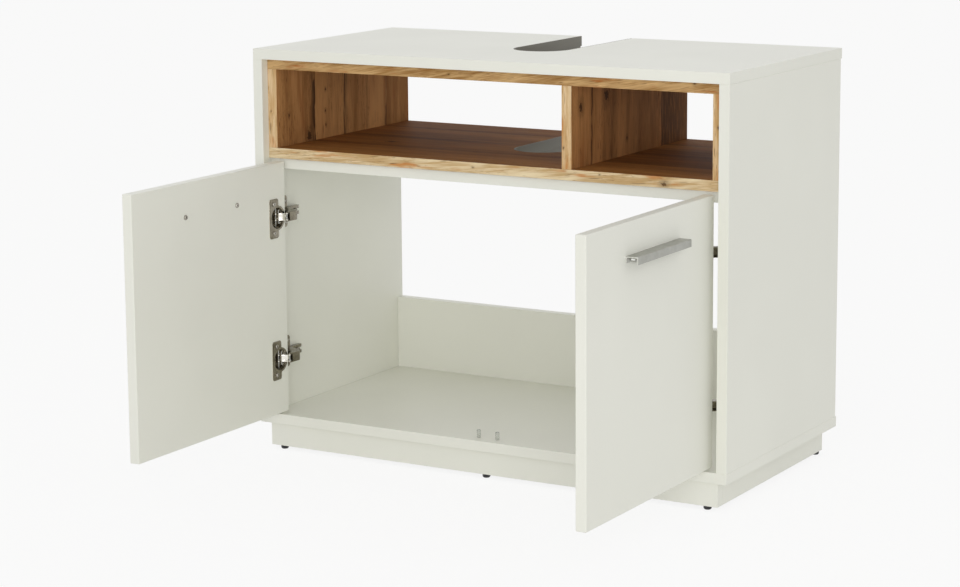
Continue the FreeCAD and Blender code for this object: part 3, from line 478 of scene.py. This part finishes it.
def archedChain(bm, radius, centreY, backY, z):
    # from the back edge round the cut-out's end and back again
    first = bm.verts.new((radius, centreY, z))
    arc = bmesh.ops.spin(bm, geom=[first], cent=(0, centreY, z), axis=(0, 0, -1), angle=math.pi,
                         steps=edgingLook["arcSteps"], use_merge=False, use_duplicate=False)
    last = vertsIn(arc["geom_last"])[0]
    chain = [first]
    while chain[-1] is not last:
        for edge in chain[-1].link_edges:
            other = edge.other_vert(chain[-1])
            if other not in chain:
                chain.append(other)
                break
    right = bm.verts.new((radius, backY, z))
    left = bm.verts.new((-radius, backY, z))
    return [right] + chain + [left]


def thicken(bm, face, height):
    grown = bmesh.ops.extrude_face_region(bm, geom=[face])["geom"]
    bmesh.ops.translate(bm, verts=vertsIn(grown), vec=(0, 0, height))
    bmesh.ops.recalc_face_normals(bm, faces=bm.faces)


def cutBoard(nodeName, edgingName, look):
    low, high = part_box(nodeName)
    radius, centreY = cutSize(edgingName)
    bm = bmesh.new()
    inner = archedChain(bm, radius, centreY, high.y, low.z)
    corners = [(low.x, high.y), (low.x, low.y), (high.x, low.y), (high.x, high.y)]
    outer = [bm.verts.new((x, y, low.z)) for x, y in corners]
    thicken(bm, bm.faces.new(inner + outer), high.z - low.z)
    roundEdges(bm, look)
    return bm


def cutEdging(nodeName):
    low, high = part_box(nodeName)
    radius, centreY = cutSize(nodeName)
    bm = bmesh.new()
    outer = archedChain(bm, radius, centreY, high.y, low.z)
    inner = archedChain(bm, radius - edgingLook["thickness"] * mm, centreY, high.y, low.z)
    thicken(bm, bm.faces.new(outer + inner[::-1]), high.z - low.z)
    roundEdges(bm, edgingLook)
    return bm


def markFaces(bm, least, frontOnly=False):
    # the second material for faces that look along Y, or only for those that look to the front
    for face in bm.faces:
        front = -face.normal.y
        if front > least or (front < -least and not frontOnly):
            face.material_index = 1


oakLook = {"round": 0.35, "segments": 2, "sharperThan": 50, "edgeFaces": 0.7}
for nodeName, edgingName in (("top_panel", "top_panel_edging"), ("middle_shelf", "middle_shelf_edging")):
    finishPiece(nodeName + "_board", cutBoard(nodeName, edgingName, boardLook), [nodeName], ["white"])
for nodeName, edgingName, edgeKey in (("insert_top_board", "insert_top_edging", "oakEdgeTop"),
                                      ("insert_bottom_board", "insert_bottom_edging", "oakEdge")):
    bm = cutBoard(nodeName, edgingName, oakLook)
    markFaces(bm, oakLook["edgeFaces"])
    finishPiece(nodeName + "_oak", bm, [nodeName], ["oakFlat", edgeKey])
for nodeName in ("top_panel_edging", "insert_top_edging", "insert_bottom_edging", "middle_shelf_edging"):
    finishPiece(nodeName + "_strip", cutEdging(nodeName), [nodeName], ["edging"], edgingLook["smoothBelow"])
for nodeName, faceKey in (("insert_left_board", "oakUpright"), ("insert_right_board", "oakUpright"),
                          ("insert_divider", "oakDivider")):
    bm = softened(nodeName, oakLook)
    markFaces(bm, oakLook["edgeFaces"])
    finishPiece(nodeName + "_oak", bm, [nodeName], [faceKey, "oakEdgeUpright"])
print("cut boards and oak insert done")


glideLook = {"steps": 32, "foot": 4.8, "body": 6.0, "footHeight": 2.0, "round": 0.5, "lip": 0.3,
             "nail": 1.25, "nailPoint": 2.0, "smoothBelow": 35}
stopLook = {"steps": 32, "body": 3.0, "round": 1.1, "shank": 2.5, "shankLength": 8.0, "smoothBelow": 35}

bm = bmesh.new()
for low, high in partsOf("floor_glides"):
    centre = (low + high) / 2
    height = (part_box("plinth_front")[0].z - low.z) / mm
    total = (high.z - low.z) / mm
    foot, body, lip, nail = (glideLook[key] for key in ("foot", "body", "lip", "nail"))
    rise = glideLook["round"] * 0.4
    profile = [
        (0, 0), (foot - glideLook["round"], 0), (foot, rise),
        (body - lip / 2, glideLook["footHeight"] - lip), (body, glideLook["footHeight"] + rise),
        (body, height - lip), (body - lip, height), (nail, height),
        (nail, total - glideLook["nailPoint"]), (0, total),
    ]
    turnedPiece(bm, profile, glideLook["steps"], Matrix.Translation((centre.x, centre.y, low.z)))
finishPiece("floor_glide_set", bm, ["floor_glides"], ["glide"], glideLook["smoothBelow"])

bm = bmesh.new()
for low, high in partsOf("door_stops"):
    centre = (low + high) / 2
    body, bend, shank, depth = (stopLook[key] for key in ("body", "round", "shank", "shankLength"))
    height = (high.z - low.z) / mm - depth
    angles = [math.radians(degrees) for degrees in (0, 22, 45, 67, 90)]
    curve = [(body - bend * (1 - math.cos(a)), height - bend * (1 - math.sin(a))) for a in angles]
    profile = [(0, -depth), (shank, -depth), (shank, 0), (body, 0)] + curve + [(0, height)]
    placing = Matrix.Translation((centre.x, centre.y, low.z + depth * mm))
    turnedPiece(bm, profile, stopLook["steps"], placing)
finishPiece("door_stop_pegs", bm, ["door_stops"], ["stop"], stopLook["smoothBelow"])
print("glides and stops done")


handleLook = {"round": 0.25, "segments": 2, "sharperThan": 40, "endFaces": 0.95, "smoothBelow": 35}
pressedLook = {"round": 0.18, "segments": 2, "sharperThan": 42, "paintedHighlightFaces": 0.6, "smoothBelow": 40}
hingeParts = ["hinge_cup", "hinge_arm", "mounting_plate", "outer_link", "inner_link"]

for side in ("left", "right"):
    bm = softened(side + "_handle", handleLook)
    markFaces(bm, handleLook["endFaces"])
    finishPiece(side + "_handle_bar", bm, [side + "_handle"], ["handle", "cutAluminium"],
                handleLook["smoothBelow"])
    for level in ("lower", "upper"):
        for part in hingeParts:
            nodeName = "_".join((side, level, part))
            key = materialOfSlot[slotOfNode[nodeName]]
            bm = softened(nodeName, pressedLook)
            # painted highlight: the cup's faces that look to the front take the bright polished nickel, a
            # highlight painted along the flange rim
            if part == "hinge_cup":
                markFaces(bm, pressedLook["paintedHighlightFaces"], frontOnly=True)
            finishPiece(nodeName + "_pressing", bm, [nodeName], [key, "link"], pressedLook["smoothBelow"])
print("handles and hinges done")


# crown holds shares of the head's radius and height
screwShape = {"steps": 24, "pointShare": 0.3, "pointLength": 0.2, "crossTaper": 0.75, "smoothBelow": 35,
              "crown": ((1.0, 0.35), (0.9, 0.75), (0.72, 1.0))}
woodScrew = {"head": 3.5, "headHeight": 1.8, "shank": 1.75, "tip": 4.0,
             "crossWidth": 0.8, "crossLength": 3.6, "crossDepth": 1.0}
machineScrew = {"head": 3.5, "headHeight": 2.4, "shank": 2.0, "tip": 0.5,
                "crossWidth": 0.9, "crossLength": 4.0, "crossDepth": 1.3}
handleScrew = {"head": 3.75, "headHeight": 2.2, "shank": 2.0, "tip": 0.5,
               "crossWidth": 0.9, "crossLength": 4.2, "crossDepth": 1.2}


def crossRecess(bm, look, ring):
    # a plus-shaped pit in the head's top, joined to the ring of edges round it
    grid = bmesh.ops.create_grid(bm, x_segments=3, y_segments=3, size=1.0)["verts"]
    for vertex in grid:
        for axis in (0, 1):
            value = vertex.co[axis]
            reach = look["crossLength"] if abs(value) > 0.5 else look["crossWidth"]
            vertex.co[axis] = math.copysign(reach / 2 * mm, value)
        vertex.co.z = look["headHeight"] * mm
    faces = inOrder(f for v in grid for f in v.link_faces)
    arm = look["crossWidth"] / 2 * mm
    corners = [f for f in faces if all(abs(c) > arm for c in f.calc_center_median()[:2])]
    bmesh.ops.delete(bm, geom=corners, context="FACES")
    cross = [f for f in faces if f.is_valid]
    rim = [e for e in inOrder(e for f in cross for e in f.edges) if len(e.link_faces) == 1]
    bmesh.ops.bridge_loops(bm, edges=ring + rim)
    bottom = bmesh.ops.extrude_face_region(bm, geom=cross)["geom"]
    for vertex in vertsIn(bottom):
        vertex.co.x *= screwShape["crossTaper"]
        vertex.co.y *= screwShape["crossTaper"]
        vertex.co.z -= look["crossDepth"] * mm
    bmesh.ops.delete(bm, geom=[f for f in cross if f.is_valid], context="FACES_ONLY")


def screwSet(nodeName, look):
    bm = bmesh.new()
    outward = 1 if nodeName.startswith("left") else -1
    for low, high in partsOf(nodeName):
        centre = (low + high) / 2
        headTop = high.x if outward > 0 else low.x
        seat = headTop - outward * look["headHeight"] * mm
        length = (high.x - low.x) / mm - look["headHeight"]
        head, top, shank = look["head"], look["headHeight"], look["shank"]
        profile = [
            (0, -length), (shank * screwShape["pointShare"], -length + screwShape["pointLength"]),
            (shank, -length + look["tip"]), (shank, 0), (head, 0),
        ] + [(head * out, top * up) for out, up in screwShape["crown"]]
        before = set(bm.verts)
        turnedPiece(bm, profile, screwShape["steps"], Matrix.Identity(4))
        ring = [e for v in bm.verts if v not in before for e in v.link_edges if len(e.link_faces) == 1]
        crossRecess(bm, look, inOrder(ring))
        made = [v for v in bm.verts if v not in before]
        bmesh.ops.transform(bm, matrix=outwardPlacing((seat, centre.y, centre.z), outward), verts=made)
    bmesh.ops.recalc_face_normals(bm, faces=bm.faces)
    return bm


for side in ("left", "right"):
    for kind, look in (("cup_screws", woodScrew), ("plate_screws", woodScrew),
                       ("adjusting_screws", machineScrew), ("handle_screws", handleScrew)):
        nodeName = side + "_" + kind
        finishPiece(nodeName + "_turned", screwSet(nodeName, look), [nodeName], ["screw"],
                    screwShape["smoothBelow"])
print("screws done")


for nodeName, node in cadNodes.items():
    if not node.hide_render:
        node.data.materials.clear()
        node.data.materials.append(materials[materialOfSlot[slotOfNode[nodeName]]])
        print("CAD shape kept:", nodeName)


stageLook = {"floorSide": 40.0, "floorWhite": "#F4F4F2", "whiteShare": 0.86, "skyForObject": 0.68,
             "lampAim": (0, 0, 0.35)}


def seenDirectly(tree):
    # 1 for rays that show the background: straight from the camera, mirrored, or through glass
    rays = addNode(tree, "LightPath")
    seen = calculate(tree, "MAXIMUM", rays.outputs["Is Camera Ray"], rays.outputs["Is Glossy Ray"])
    return calculate(tree, "MAXIMUM", seen, rays.outputs["Is Transmission Ray"])


def makeFloor():
    bm = bmesh.new()
    bmesh.ops.create_grid(bm, x_segments=4, y_segments=4, size=stageLook["floorSide"] / 2)
    mesh = bpy.data.meshes.new("studio_floor")
    bm.to_mesh(mesh)
    bm.free()
    material = bpy.data.materials.new("pale_paper_floor")
    material.use_nodes = True
    tree = material.node_tree
    tree.nodes.remove(tree.nodes["Principled BSDF"])
    paper = addNode(tree, "BsdfDiffuse", {"Color": fromHex(stageLook["floorWhite"])})
    white = addNode(tree, "Emission", {"Color": (1, 1, 1, 1), "Strength": 1.0})
    share = multiply(tree, seenDirectly(tree), stageLook["whiteShare"])
    blend = addNode(tree, "MixShader", {0: share, 1: paper.outputs[0], 2: white.outputs[0]})
    tree.links.new(blend.outputs[0], tree.nodes["Material Output"].inputs["Surface"])
    mesh.materials.append(material)
    floor = bpy.data.objects.new("studio_floor", mesh)
    bpy.context.scene.collection.objects.link(floor)


def makeSky():
    world = bpy.data.worlds.new("white_studio")
    world.use_nodes = True
    bpy.context.scene.world = world
    tree = world.node_tree
    strength = spread(tree, seenDirectly(tree), 0.0, 1.0, stageLook["skyForObject"], 1.0)
    tree.links.new(strength, tree.nodes["Background"].inputs["Strength"])
    tree.nodes["Background"].inputs["Color"].default_value = (1, 1, 1, 1)


lamps = {
    "camera_side_softbox": {"place": (2.1, -3.9, 0.95), "size": 2.4, "watts": 52},
    "top_softbox": {"place": (0.0, -0.6, 3.4), "size": 2.6, "watts": 3},
}


def makeLamps():
    for name, lamp in lamps.items():
        data = bpy.data.lights.new(name, "AREA")
        data.shape = "SQUARE"
        data.size = lamp["size"]
        data.energy = lamp["watts"]
        light = bpy.data.objects.new(name, data)
        light.location = lamp["place"]
        aim = Vector(stageLook["lampAim"]) - Vector(lamp["place"])
        light.rotation_euler = aim.to_track_quat("-Z", "Y").to_euler()
        bpy.context.scene.collection.objects.link(light)


# fitted to the board edges in the photograph
cameraLook = {"place": (1.90511, -3.26521, 1.01058), "yaw": 0.5304, "pitch": -0.1726, "roll": -0.0076,
              "focalPixels": 2602.29, "imageWidth": 960, "sensor": 36.0, "shiftY": -0.05,
              "farClip": 200}


def makeCamera():
    look = cameraLook
    data = bpy.data.cameras.new("photo_camera")
    data.sensor_width = look["sensor"]
    data.lens = look["focalPixels"] * look["sensor"] / look["imageWidth"]
    data.shift_y = look["shiftY"]
    data.clip_end = look["farClip"]
    camera = bpy.data.objects.new("photo_camera", data)
    turn = (Matrix.Rotation(look["yaw"], 4, "Z") @ Matrix.Rotation(math.pi / 2 + look["pitch"], 4, "X")
            @ Matrix.Rotation(look["roll"], 4, "Z"))
    camera.matrix_world = Matrix.Translation(look["place"]) @ turn
    bpy.context.scene.collection.objects.link(camera)
    bpy.context.scene.camera = camera


makeFloor()
makeSky()
makeLamps()
makeCamera()
bpy.context.scene.view_settings.view_transform = "Standard"
print("stage set")
